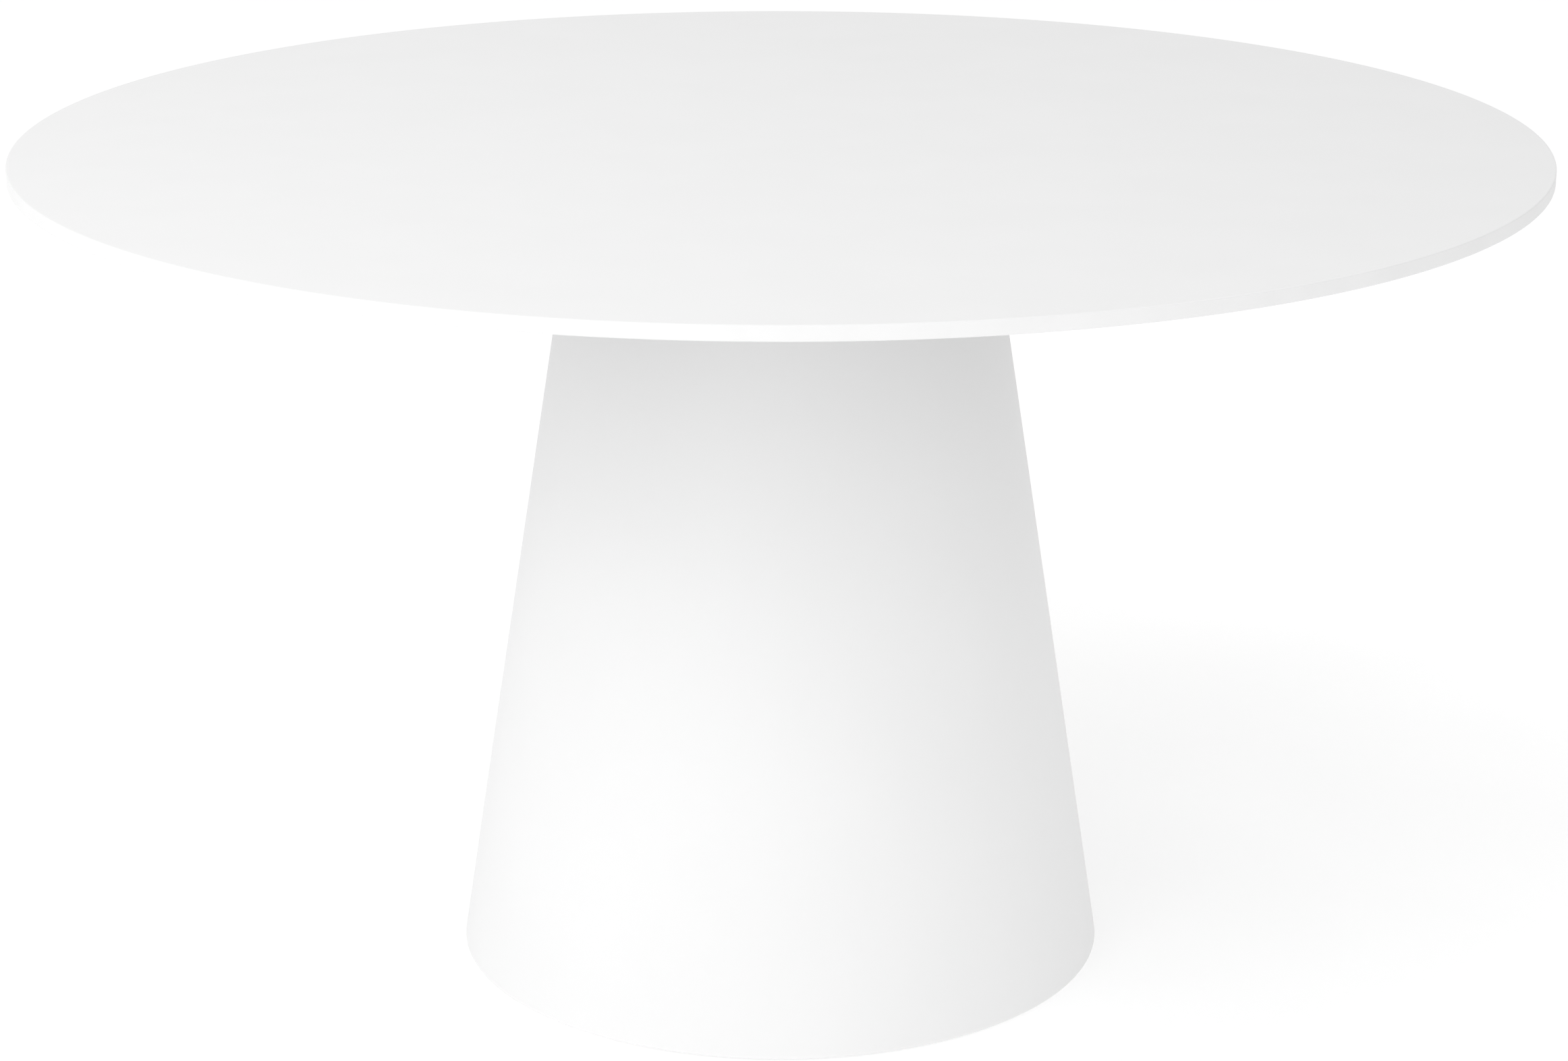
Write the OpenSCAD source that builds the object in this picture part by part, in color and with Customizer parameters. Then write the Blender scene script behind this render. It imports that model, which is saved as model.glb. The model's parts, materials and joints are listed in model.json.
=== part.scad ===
// Round pedestal table: a compact-laminate disc on a moulded cone with a steel core.
// Millimetres, +Z up, origin on the floor at the table's vertical axis.
//
// From the floor up: six levelling feet screw into nuts on a steel base plate, a tube
// stands on that plate and carries a flange, the moulded cone slips over the tube and
// rests on the plate, a hub plate with four box-section arms clamps the cone's deck on
// the flange, and the disc is screwed down on the arms.

/* [Table] */
// Height of the tabletop's upper face above the floor
table_h = 730; // [650:1:900]
// Diameter of the tabletop
top_d = 1300; // [1000:1:1600]

/* [Tabletop] */
// Thickness of the laminate disc
top_t = 12; // [10:0.5:25]
// Width of the bevel that eases both rims of the disc
top_bevel = 1; // [0.3:0.1:2]
// Outer diameter of a threaded insert in the disc
top_insert_d = 10; // [9:0.5:12]
// Depth of a threaded insert in the disc
top_insert_h = 9; // [6:0.5:9.5]
// Thickness of the rubber pads between the arms and the disc
pad_t = 2; // [1:0.5:4]
// Length of a rubber pad along its arm
pad_l = 60; // [30:1:80]

/* [Pedestal cone] */
// Outer diameter of the cone at its foot
shell_base_d = 572; // [476:1:700]
// Outer diameter of the cone at its top rim
shell_top_d = 346; // [288:1:420]
// Wall of the cone, measured level
shell_wall = 6; // [4:0.5:8]
// Thickness of the skirt that hides the base plate's edge
skirt_t = 12; // [10:0.5:16]
// Height of the cone's foot above the floor
floor_gap = 2.5; // [2:0.5:8]
// Gap between the cone's top rim and the disc
rim_gap = 2; // [1:0.5:6]
// Radius of the cone's outer foot edge
foot_round = 2.5; // [1:0.5:5]
// Radius of the cone's top rim edges
rim_round = 1.5; // [0.5:0.25:2]
// Outer diameter of a boss that holds a threaded insert
boss_d = 20; // [16:0.5:24]
// Height of a boss above the base plate
boss_h = 16; // [14:0.5:24]
// Outer diameter of a threaded insert in the cone
shell_insert_d = 9; // [8.5:0.5:11]
// Length of a threaded insert in the cone
shell_insert_h = 12; // [10:0.5:13]
// Number of screws that fix the cone to the base plate
shell_screw_count = 6; // [3:1:8]

/* [Steel core] */
// Outer diameter of the column tube
column_d = 76.1; // [48.3:0.1:101.6]
// Wall of the column tube
column_wall = 3; // [2:0.1:5]
// Width of the flange's ledge outside the column
flange_ledge = 47; // [35:1:50]
// Thickness of the column's flange
flange_t = 10; // [8:0.5:12]
// Thickness of the base plate
plate_t = 8; // [6:0.5:12]
// Height of the base plate's underside above the floor
plate_lift = 18; // [15:0.5:24]
// Gap between the base plate's edge and the skirt
plate_gap = 2; // [1:0.5:4]
// Leg length of a column gusset
gusset_leg = 60; // [30:1:90]
// Thickness of a column gusset
gusset_t = 5; // [3:0.5:8]
// Number of column gussets
gusset_count = 4; // [3:1:6]

/* [Arms and hub] */
// Number of arms under the disc, with a hub bolt between each two
arm_count = 4; // [3:1:4]
// Width of an arm's box section
arm_w = 40; // [30:1:50]
// Height of an arm's box section
arm_h = 20; // [15:1:30]
// Wall of an arm's box section
arm_wall = 2; // [1.5:0.5:3]
// Outer corner radius of an arm's box section
arm_round = 3; // [2.5:0.5:4]
// Distance from the table's axis to an arm's inner end
arm_start = 48; // [40:1:60]
// Distance from an arm's end to the rim of the disc
arm_setback = 215; // [120:1:300]
// Clearance round an arm in its notch in the cone
notch_gap = 2; // [1:0.5:4]
// Thickness of an end cap's face
cap_t = 3; // [2:0.5:5]
// Length of an end cap's plug
cap_plug = 12; // [8:1:20]
// Thickness of the hub plate
hub_t = 6; // [4:0.5:10]
// Gap between the hub plate's edge and the cone's inner wall
hub_gap = 11; // [4:1:30]
// Thickness of the rubber ring under the hub plate
gasket_t = 1.5; // [1:0.5:3]

/* [Levelling feet] */
// Number of feet
foot_count = 6; // [3:1:8]
// Travel of a foot from fully in to fully out
foot_travel = 12; // [6:1:14]
// Diameter of a foot's pad
foot_pad_d = 35; // [25:1:40]
// Height of a foot's pad
foot_pad_h = 10; // [8:0.5:12]
// Diameter of a foot's threaded stem
stem_d = 10; // [8:0.5:12]
// Width across flats of the hexagon on a foot's stem
stem_hex = 14; // [13:0.5:17]
// Width across flats of the nut that a stem runs in
foot_nut_hex = 17; // [15:0.5:19]
// Height of that nut
foot_nut_h = 8; // [6:0.5:10]

/* [Screws] */
// Diameter of the screws in the disc and in the cone
screw_d = 6; // [5:0.5:7]
// Depth that a screw reaches into its insert
screw_reach = 6.8; // [5:0.1:8.4]
// Distance from the cone's rim to the inner ring of screws in the arms
screw_rim_gap = 42; // [36:1:70]
// Distance from an arm's end to the outer ring of screws
screw_end_gap = 34; // [32:1:60]
// Diameter of the hub bolts
bolt_d = 8; // [6:1:10]
// Depth that a hub bolt reaches into the column's flange
bolt_reach = 8.4; // [6:0.1:10]

/* [Hidden] */
$fn = 96;
// Overlap of a cutting shape past the face that it cuts
cut = 1;
// Radial clearance of a plain shank that stands for a thread
thread_gap = 0.05;
// Radial clearance of a screw in a plain hole
hole_gap = 0.5;
// Radial clearance of an insert in its hole
insert_gap = 0.05;
// Clearance between a stem and what it turns in
stem_gap = 0.08;

// Heights, from the disc down
top_under = table_h - top_t;
arm_top = top_under - pad_t;
arm_bottom = arm_top - arm_h;
hub_bottom = arm_bottom - hub_t;
deck_top = hub_bottom - gasket_t;
deck_bottom = deck_top - shell_wall;
flange_bottom = hub_bottom - flange_t;
rim_top = top_under - rim_gap;
notch_bottom = arm_bottom - notch_gap;

// Heights, from the floor up
plate_top = plate_lift + plate_t;
ledge_top = plate_top + shell_wall;

// The cone's outer and inner radius at a height, and its lean from the vertical
function shell_out(z) = shell_base_d / 2
    + (shell_top_d - shell_base_d) / 2 * (z - floor_gap) / (rim_top - floor_gap);
function shell_in(z) = shell_out(z) - shell_wall;
lean = atan((shell_base_d - shell_top_d) / 2 / (rim_top - floor_gap));

// Radii in the foot of the pedestal, from the skirt inwards
skirt_in = shell_base_d / 2 - skirt_t;
plate_r = skirt_in - plate_gap;
boss_wall_gap = 6;
boss_r = skirt_in - boss_wall_gap - boss_d / 2;
ledge_edge = 1;
ledge_in = boss_r - boss_d / 2 - ledge_edge;
nut_edge_gap = 2.2;
foot_r = ledge_in - nut_edge_gap - foot_nut_hex / 2 / cos(30);

// Radii at the top of the pedestal
flange_r = column_d / 2 + flange_ledge;
flange_edge_gap = 5;
deck_in = flange_r + flange_edge_gap;
hub_r = shell_in(deck_top) - hub_gap;
gasket_edge = 2;
bolt_r = (column_d / 2 + flange_r) / 2;

// Arms, which lie between the hub bolts
arm_end = top_d / 2 - arm_setback;
arm_turn = 180 / arm_count;
function arm_angle(i) = arm_turn + 360 / arm_count * (i - 1);
inner_screw_r = shell_top_d / 2 + screw_rim_gap;
outer_screw_r = arm_end - screw_end_gap;
screw_radii = [inner_screw_r, outer_screw_r];
pad_w = arm_w - 10;

// Screw heads and washers
washer_t = 1.2;
washer_d = 2 * screw_d;
head_d = 1.75 * screw_d;
head_h = 0.55 * screw_d;
bolt_washer_t = 1.6;
bolt_head_h = 0.66 * bolt_d;
bolt_hex = 1.625 * bolt_d;

// Lengths under the head, through everything that is clamped
top_screw_l = washer_t + arm_h + pad_t + screw_reach;
shell_screw_l = washer_t + plate_t + screw_reach;
bolt_l = bolt_washer_t + hub_t + bolt_reach;

// Levelling feet: a ball on the stem sits in a socket in the pad
ball_r = 4.6;
ball_z = 6;
neck_r = 3;
neck_gap = 0.4;
hex_bottom = foot_pad_h + 1.4;
hex_gap = 0.4;
hex_top = plate_lift - hex_gap;
stem_spare = 6;
stem_top = plate_top + foot_nut_h + foot_travel + stem_spare;
stem_tip = 1;
pad_rim_h = 3.5;
pad_top_r = 9;

// Feet lie between the screws that fix the cone
function foot_angle(i) = 360 / foot_count * (i - 1);
function shell_screw_angle(i) = 360 / shell_screw_count * (i - 0.5);
function gusset_angle(i) = 180 / gusset_count + 360 / gusset_count * (i - 1);

// ---- Shared shapes ----

// Points of an arc about [x, z], from one angle to another
function arc(x, z, r, from, to, steps = 4) =
    [for (k = [0:steps]) let (a = from + (to - from) * k / steps) [x + r * cos(a), z + r * sin(a)]];

// A disc with a bevel on both rims
module bevelled_disc(r, h, bevel) {
    rotate_extrude()
        polygon([[0, 0], [r - bevel, 0], [r, bevel], [r, h - bevel], [r - bevel, h], [0, h]]);
}

// A flat ring
module ring(r_out, r_in, h) {
    difference() {
        cylinder(r = r_out, h = h);
        translate([0, 0, -cut]) cylinder(r = r_in, h = h + 2 * cut);
    }
}

// A rectangle with true round corners
module rounded_rect(w, h, r) {
    square([w - 2 * r, h], center = true);
    square([w, h - 2 * r], center = true);
    for (x = [-1, 1], y = [-1, 1])
        translate([x * (w / 2 - r), y * (h / 2 - r)]) circle(r = r);
}

// A screw with a domed head below and its shank upwards; the head's seat is at z = 0
module button_screw(d, l) {
    socket_hex = 0.67 * d;
    socket_depth = 0.6 * head_h;
    difference() {
        union() {
            cylinder(r = d / 2 - thread_gap, h = l);
            translate([0, 0, -head_h / 2]) cylinder(r = head_d / 2, h = head_h / 2);
            translate([0, 0, -head_h]) cylinder(r1 = head_d / 3, r2 = head_d / 2, h = head_h / 2);
        }
        translate([0, 0, -head_h - cut])
            cylinder(r = socket_hex / 2 / cos(30), h = socket_depth + cut, $fn = 6);
    }
}

// A hexagon-head bolt with its head above and its shank downwards; the seat is at z = 0
module hex_bolt(d, l) {
    cylinder(r = bolt_hex / 2 / cos(30), h = bolt_head_h, $fn = 6);
    translate([0, 0, -l]) cylinder(r = d / 2 - thread_gap, h = l + bolt_head_h / 2);
}

// A threaded sleeve, standing on z = 0
module insert(d, l) {
    ring(d / 2, screw_d / 2 + thread_gap, l);
}

// Places its children at each screw below the disc
module at_top_screws() {
    for (i = [1:arm_count], r = screw_radii) rotate(arm_angle(i)) translate([r, 0, 0]) children();
}

// Places its children at each hub bolt, midway between two arms
module at_hub_bolts() {
    for (i = [1:arm_count]) rotate(arm_angle(i) + arm_turn) translate([bolt_r, 0, 0]) children();
}

// Places its children at each screw in the cone's foot
module at_shell_screws() {
    for (i = [1:shell_screw_count])
        rotate(shell_screw_angle(i)) translate([boss_r, 0, 0]) children();
}

// Places its children at one foot
module at_foot(i) {
    rotate(foot_angle(i)) translate([foot_r, 0, 0]) children();
}

// ---- Tabletop ----

// Solid compact-laminate disc, with blind holes in its underside for the inserts
module tabletop() {
    color("white") difference() {
        translate([0, 0, top_under]) bevelled_disc(top_d / 2, top_t, top_bevel);
        at_top_screws() translate([0, 0, top_under - cut])
            cylinder(r = top_insert_d / 2 + insert_gap, h = top_insert_h + cut);
    }
}

module tabletop_inserts() {
    color("gold") at_top_screws() translate([0, 0, top_under]) insert(top_insert_d, top_insert_h);
}

module tabletop_washers() {
    color("silver") at_top_screws() translate([0, 0, arm_bottom - washer_t])
        ring(washer_d / 2, screw_d / 2 + hole_gap / 2, washer_t);
}

module tabletop_screws() {
    color("silver") at_top_screws() translate([0, 0, arm_bottom - washer_t])
        button_screw(screw_d, top_screw_l);
}

// One rubber pad on each arm at each screw
module rubber_pads() {
    color("dimgray") at_top_screws() translate([0, 0, arm_top]) difference() {
        translate([-pad_l / 2, -pad_w / 2, 0]) cube([pad_l, pad_w, pad_t]);
        translate([0, 0, -cut]) cylinder(r = screw_d / 2 + hole_gap, h = pad_t + 2 * cut);
    }
}

// ---- Arms and hub ----

// Box-section arm on the hub plate, with a through hole at each screw
module spider_arm(i) {
    arm_l = arm_end - arm_start;
    inner_round = arm_round - arm_wall + 0.5;
    color("black") difference() {
        rotate(arm_angle(i)) translate([arm_start, 0, arm_bottom + arm_h / 2])
            rotate([90, 0, 90]) linear_extrude(arm_l) difference() {
                rounded_rect(arm_w, arm_h, arm_round);
                rounded_rect(arm_w - 2 * arm_wall, arm_h - 2 * arm_wall, inner_round);
            }
        rotate(arm_angle(i)) for (r = screw_radii) translate([r, 0, arm_bottom - cut])
            cylinder(r = screw_d / 2 + hole_gap, h = arm_h + 2 * cut);
    }
}

// Plastic cap in each arm's outer end: a face plate with a plug in the tube
module arm_end_caps() {
    plug_gap = 0.1;
    plug_w = arm_w - 2 * (arm_wall + plug_gap);
    plug_h = arm_h - 2 * (arm_wall + plug_gap);
    plug_round = arm_round - arm_wall + 0.5;
    color("black") for (i = [1:arm_count])
        rotate(arm_angle(i)) translate([arm_end, 0, arm_bottom + arm_h / 2]) rotate([90, 0, 90]) {
            linear_extrude(cap_t) rounded_rect(arm_w, arm_h, arm_round);
            translate([0, 0, -cap_plug]) linear_extrude(cap_plug)
                rounded_rect(plug_w, plug_h, plug_round);
        }
}

// Steel disc that the arms are welded on and that clamps the cone's deck
module hub_plate() {
    color("black") difference() {
        translate([0, 0, hub_bottom]) cylinder(r = hub_r, h = hub_t);
        at_hub_bolts() translate([0, 0, hub_bottom - cut])
            cylinder(r = bolt_d / 2 + hole_gap, h = hub_t + 2 * cut);
    }
}

module hub_washers() {
    color("silver") at_hub_bolts() translate([0, 0, arm_bottom])
        ring(bolt_d, bolt_d / 2 + hole_gap / 2, bolt_washer_t);
}

module hub_bolts() {
    color("silver") at_hub_bolts() translate([0, 0, arm_bottom + bolt_washer_t])
        hex_bolt(bolt_d, bolt_l);
}

// Rubber ring between the cone's deck and the hub plate
module hub_gasket() {
    color("dimgray") translate([0, 0, deck_top]) ring(hub_r - gasket_edge, deck_in + gasket_edge, gasket_t);
}

// ---- Pedestal cone ----

// The cone's section: outer wall, rim, recessed deck, and a ledge on the base plate with a skirt below it
function shell_section() = concat(
    arc(shell_out(floor_gap + foot_round) - foot_round / cos(lean), floor_gap + foot_round,
        foot_round, -90, lean),
    arc(shell_out(rim_top - rim_round) - rim_round / cos(lean), rim_top - rim_round,
        rim_round, lean, 90),
    [
        [shell_in(rim_top), rim_top],
        [shell_in(deck_top), deck_top],
        [deck_in, deck_top],
        [deck_in, deck_bottom],
        [shell_in(deck_bottom), deck_bottom],
        [shell_in(ledge_top), ledge_top],
        [ledge_in, ledge_top],
        [ledge_in, plate_top],
        [skirt_in, plate_top],
        [skirt_in, floor_gap]
    ]
);

// One moulding: the revolved section with a boss at each screw and a notch in the rim at each arm
module pedestal_shell() {
    notch_w = arm_w + 2 * notch_gap;
    color("white") difference() {
        union() {
            rotate_extrude() polygon(shell_section());
            at_shell_screws() translate([0, 0, plate_top]) cylinder(r = boss_d / 2, h = boss_h);
        }
        at_shell_screws() translate([0, 0, plate_top - cut])
            cylinder(r = shell_insert_d / 2 + insert_gap, h = shell_insert_h + cut);
        for (i = [1:arm_count]) rotate(arm_angle(i))
            translate([hub_r, -notch_w / 2, notch_bottom])
                cube([shell_base_d, notch_w, rim_top - notch_bottom + cut]);
    }
}

module shell_inserts() {
    color("gold") at_shell_screws() translate([0, 0, plate_top]) insert(shell_insert_d, shell_insert_h);
}

module shell_washers() {
    color("silver") at_shell_screws() translate([0, 0, plate_lift - washer_t])
        ring(washer_d / 2, screw_d / 2 + hole_gap / 2, washer_t);
}

module shell_screws() {
    color("silver") at_shell_screws() translate([0, 0, plate_lift - washer_t])
        button_screw(screw_d, shell_screw_l);
}

// ---- Steel core ----

// Round tube between the base plate and the flange
module column() {
    color("dimgray") translate([0, 0, plate_top])
        ring(column_d / 2, column_d / 2 - column_wall, flange_bottom - plate_top);
}

// Disc on the column's top, tapped for the hub bolts
module column_flange() {
    color("dimgray") difference() {
        translate([0, 0, flange_bottom]) cylinder(r = flange_r, h = flange_t);
        at_hub_bolts() translate([0, 0, flange_bottom - cut])
            cylinder(r = bolt_d / 2 + thread_gap, h = flange_t + 2 * cut);
    }
}

// Triangular plate between the column and the base plate, with its inner corner cut for the weld
module column_gusset(i) {
    weld_corner = 6;
    tip = 5;
    color("dimgray") rotate(gusset_angle(i)) translate([column_d / 2, gusset_t / 2, plate_top])
        rotate([90, 0, 0]) linear_extrude(gusset_t) polygon([
            [weld_corner, 0], [gusset_leg, 0], [gusset_leg, tip],
            [tip, gusset_leg], [0, gusset_leg], [0, weld_corner]
        ]);
}

// Heavy disc that holds the table down, with a hole at each foot and at each screw
module base_plate() {
    color("dimgray") difference() {
        translate([0, 0, plate_lift]) cylinder(r = plate_r, h = plate_t);
        for (i = [1:foot_count]) at_foot(i) translate([0, 0, plate_lift - cut])
            cylinder(r = stem_d / 2 + hole_gap, h = plate_t + 2 * cut);
        at_shell_screws() translate([0, 0, plate_lift - cut])
            cylinder(r = screw_d / 2 + hole_gap, h = plate_t + 2 * cut);
    }
}

// ---- Levelling feet ----

// Nuts welded on the base plate
module foot_nuts() {
    color("silver") for (i = [1:foot_count]) at_foot(i) translate([0, 0, plate_top]) difference() {
        cylinder(r = foot_nut_hex / 2 / cos(30), h = foot_nut_h, $fn = 6);
        translate([0, 0, -cut]) cylinder(r = stem_d / 2 + stem_gap, h = foot_nut_h + 2 * cut);
    }
}

// Stem with a ball at its foot, a hexagon for the spanner and a threaded rod above it
module foot_stem(i) {
    color("silver") at_foot(i) {
        translate([0, 0, ball_z]) sphere(r = ball_r);
        translate([0, 0, ball_z]) cylinder(r = neck_r, h = hex_bottom - ball_z + cut);
        translate([0, 0, hex_bottom])
            cylinder(r = stem_hex / 2 / cos(30), h = hex_top - hex_bottom, $fn = 6);
        translate([0, 0, hex_top - cut]) cylinder(r = stem_d / 2, h = stem_top - stem_tip - hex_top + cut);
        translate([0, 0, stem_top - stem_tip])
            cylinder(r1 = stem_d / 2, r2 = stem_d / 2 - stem_tip, h = stem_tip);
    }
}

// Moulded pad with a ball socket and a tapered top
module foot_pad(i) {
    color("black") at_foot(i) difference() {
        union() {
            cylinder(r = foot_pad_d / 2, h = pad_rim_h);
            translate([0, 0, pad_rim_h])
                cylinder(r1 = foot_pad_d / 2, r2 = pad_top_r, h = foot_pad_h - pad_rim_h);
        }
        translate([0, 0, ball_z]) sphere(r = ball_r + stem_gap);
        translate([0, 0, ball_z]) cylinder(r = neck_r + neck_gap, h = foot_pad_h - ball_z + cut);
    }
}

// ---- Nodes ----

tabletop();
tabletop_inserts();
tabletop_screws();
tabletop_washers();
rubber_pads();
for (i = [1:arm_count]) spider_arm(i);
arm_end_caps();
hub_plate();
hub_bolts();
hub_washers();
hub_gasket();
pedestal_shell();
shell_inserts();
shell_screws();
shell_washers();
column();
column_flange();
for (i = [1:gusset_count]) column_gusset(i);
base_plate();
foot_nuts();
for (i = [1:foot_count]) foot_stem(i);
for (i = [1:foot_count]) foot_pad(i);
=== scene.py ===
# %% [markdown]
# # A round pedestal table, built around its CAD frame
#
# The real object is simple to look at: a thin white disc that seems to float on a white cone. What
# sells it is restraint. The rims are eased by about a millimetre, the cone's wall is one unbroken
# moulding, and both finishes are matt, so soft light slides over them without a highlight.
#
# Below the disc it is a real piece of furniture: box-section arms, screws, a steel core and six
# feet that screw in and out. Each cell makes one of those pieces, or one finish, and says why it is
# made that way.

# %% Load the frame
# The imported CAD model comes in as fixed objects. Nothing here moves or reshapes them: a finer
# surface stands in the place of each node.
import json
import math

import bmesh
import bpy
import numpy as np
from mathutils import Matrix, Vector
from mathutils.geometry import delaunay_2d_cdt


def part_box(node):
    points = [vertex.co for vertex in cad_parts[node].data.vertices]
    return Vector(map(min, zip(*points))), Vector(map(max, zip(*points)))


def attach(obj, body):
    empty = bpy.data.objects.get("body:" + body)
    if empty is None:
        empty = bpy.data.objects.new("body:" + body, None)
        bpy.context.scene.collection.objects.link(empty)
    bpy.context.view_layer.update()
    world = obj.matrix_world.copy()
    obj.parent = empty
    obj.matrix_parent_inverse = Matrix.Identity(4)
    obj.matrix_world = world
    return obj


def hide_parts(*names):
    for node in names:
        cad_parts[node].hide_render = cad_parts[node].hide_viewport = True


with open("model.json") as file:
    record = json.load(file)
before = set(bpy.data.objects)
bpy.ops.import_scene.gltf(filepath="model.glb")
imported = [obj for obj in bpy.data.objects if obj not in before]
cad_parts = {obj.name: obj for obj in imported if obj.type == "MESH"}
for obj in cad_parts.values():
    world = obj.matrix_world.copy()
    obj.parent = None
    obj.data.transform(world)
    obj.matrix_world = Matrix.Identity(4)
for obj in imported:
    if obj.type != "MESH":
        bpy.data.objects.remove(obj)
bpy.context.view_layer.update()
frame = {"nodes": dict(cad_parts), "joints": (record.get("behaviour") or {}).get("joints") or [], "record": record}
scene = bpy.context.scene
nodes = frame["nodes"]

# %% [markdown]
# ## Measuring the frame
#
# Heights and outer radii are read from the CAD mesh: one helper gives a node's lowest and highest
# point, and another its widest radius about the table's axis. The corners of a CAD mesh lie on the
# true circle, so the widest corner gives the true radius even though the mesh itself is a polygon.
# Sizes that a mesh doesn't show directly, such as a bore or a wall, are named where they are used.

# %% Heights and radii of CAD nodes
MM = 0.001


def heights(node):
    """The lowest and highest z of a node."""
    low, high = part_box(node)
    return low.z, high.z


def radius(node):
    """The widest distance of a node's corners from the table's axis: the root of x^2 + y^2."""
    mesh = nodes[node].data
    xyz = np.empty(len(mesh.vertices) * 3)
    mesh.vertices.foreach_get("co", xyz)
    return float(np.hypot(xyz[0::3], xyz[1::3]).max())


top_low, top_high = heights("tabletop")
top_radius = radius("tabletop")
shell_low, shell_high = heights("pedestal_shell")
print(f"disc {top_radius / MM:.1f} mm radius, {(top_high - top_low) / MM:.1f} mm thick, "
      f"upper face at {top_high / MM:.1f} mm")

# %% [markdown]
# ## Surfaces from numpy
#
# A turned piece is a profile carried round an axis. The profile is a list of (radius, height)
# points, and the grid of all its points at all angles is worked out at once:
#
# x = radius * cos(angle), y = radius * sin(angle), z = height
#
# Several such grids, flat faces and holes can make one piece. They are gathered in a Surface, and
# where their edges meet, the doubled points are merged, which closes seams and poles. An edge
# between two faces stays sharp only when it turns by more than a given angle.

# %% Gather faces into one piece
SEAM = 1e-6
SHARP, CRISP = 35.0, 25.0  # degrees, for plain pieces and for fasteners


class Surface:
    """Points and faces of one piece, gathered grid by grid."""

    def __init__(self):
        self.points, self.faces, self.count = [], [], 0

    def add(self, points, faces):
        """Adds points, an array of rows, and faces, rows of indices into them."""
        self.points.append(np.asarray(points, float).reshape(-1, 3))
        self.faces.append(np.asarray(faces) + self.count)
        self.count += len(self.points[-1])
        return self

    def grid(self, points):
        """Adds a grid of points[row, column] as four-sided faces."""
        rows, columns = points.shape[:2]
        index = np.arange(rows * columns).reshape(rows, columns)
        quads = np.stack([index[:-1, :-1], index[:-1, 1:], index[1:, 1:], index[1:, :-1]], axis=-1)
        return self.add(points, quads.reshape(-1, 4))

    def at(self, places):
        """A copy at each place (a, out): (x + out, y) turned by the angle a about the table's axis.

        x' = (x + out) cos a - y sin a, y' = (x + out) sin a + y cos a
        """
        copies, points = Surface(), np.concatenate(self.points)
        for angle, out in places:
            x, y, z = points[:, 0] + out, points[:, 1], points[:, 2]
            cos, sin = math.cos(angle), math.sin(angle)
            copies.points.append(np.stack([x * cos - y * sin, x * sin + y * cos, z], axis=-1))
            copies.faces.extend(block + copies.count for block in self.faces)
            copies.count += len(points)
        return copies

    def object(self, name, sharp=SHARP):
        """Makes the Blender object: points merged, faces outwards, edges beyond sharp kept."""
        mesh = bpy.data.meshes.new(name)
        faces = [face for block in self.faces for face in block.tolist()]
        mesh.from_pydata(np.concatenate(self.points), [], faces)
        work = bmesh.new()
        work.from_mesh(mesh)
        bmesh.ops.remove_doubles(work, verts=work.verts, dist=SEAM)
        bmesh.ops.dissolve_degenerate(work, edges=work.edges, dist=SEAM)
        bmesh.ops.recalc_face_normals(work, faces=work.faces)
        work.to_mesh(mesh)
        work.free()
        mesh.shade_smooth()
        mesh.set_sharp_from_angle(angle=math.radians(sharp))
        piece = bpy.data.objects.new(name, mesh)
        scene.collection.objects.link(piece)
        return piece


def angles(columns):
    """Angles round a full turn. The last equals the first, so that the seam closes."""
    angle = np.linspace(0.0, 2 * math.pi, columns + 1)
    angle[-1] = 0.0
    return angle


def turned(profile, angle):
    """Grid of a profile carried round the vertical axis: x = r cos a, y = r sin a, z = z.

    A row's radius, and its height, is one number or an array with a value for each angle, so a
    hexagon or a knurl is turned in the same way as a circle.
    """
    r = np.stack([np.broadcast_to(row[0], angle.shape) for row in profile])
    z = np.stack([np.broadcast_to(row[1], angle.shape) for row in profile])
    return np.stack([r * np.cos(angle), r * np.sin(angle), z], axis=-1)


def curve(before, corner, after, t):
    """The curve (1 - t)^2 * before + 2 t (1 - t) * corner + t^2 * after."""
    return (1 - t) ** 2 * before + 2 * t * (1 - t) * corner + t ** 2 * after


def from_corner(corner, end, ease):
    """Two points on the edge from corner to end: at the distance ease, and at twice it.

    The second is at most half way along the edge, and never nearer than the first.
    """
    edge = end - corner
    length = np.linalg.norm(edge)
    hold = max(ease, min(2 * ease, length / 2))
    return corner + edge * ease / length, corner + edge * hold / length


def eased(outline, radii, steps=6):
    """An open outline with its inner corners rounded by the curve, for t from 0 to 1.

    The curve starts and ends on the two edges, at the given distance from the corner. One more
    point on each side, twice as far off, keeps its smooth shading away from the flats.
    """
    outline = np.asarray(outline, float)
    t = np.linspace(0.0, 1.0, steps + 1)[:, None]
    pieces = [outline[:1]]
    for before, corner, after, ease in zip(outline[:-2], outline[1:-1], outline[2:], radii):
        if ease == 0:
            pieces.append(corner[None])
            continue
        start, hold_start = from_corner(corner, before, ease)
        end, hold_end = from_corner(corner, after, ease)
        pieces += [hold_start[None], curve(start, corner, end, t), hold_end[None]]
    pieces.append(outline[-1:])
    return np.concatenate(pieces)

# %% [markdown]
# A plate with holes is not a turned shape. Its level faces are cut by a constrained triangulation:
# the outer loop and the hole loops are given as closed rows of points, and triangles are kept only
# where there is metal.

# %% Loops, and level faces with holes


def circle(r, columns, out=0.0, angle=0.0):
    """Closed loop: x = out cos(angle) + r cos a, y = out sin(angle) + r sin a."""
    a = angles(columns)
    return np.stack([out * math.cos(angle) + r * np.cos(a),
                     out * math.sin(angle) + r * np.sin(a)], axis=-1)


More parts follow.
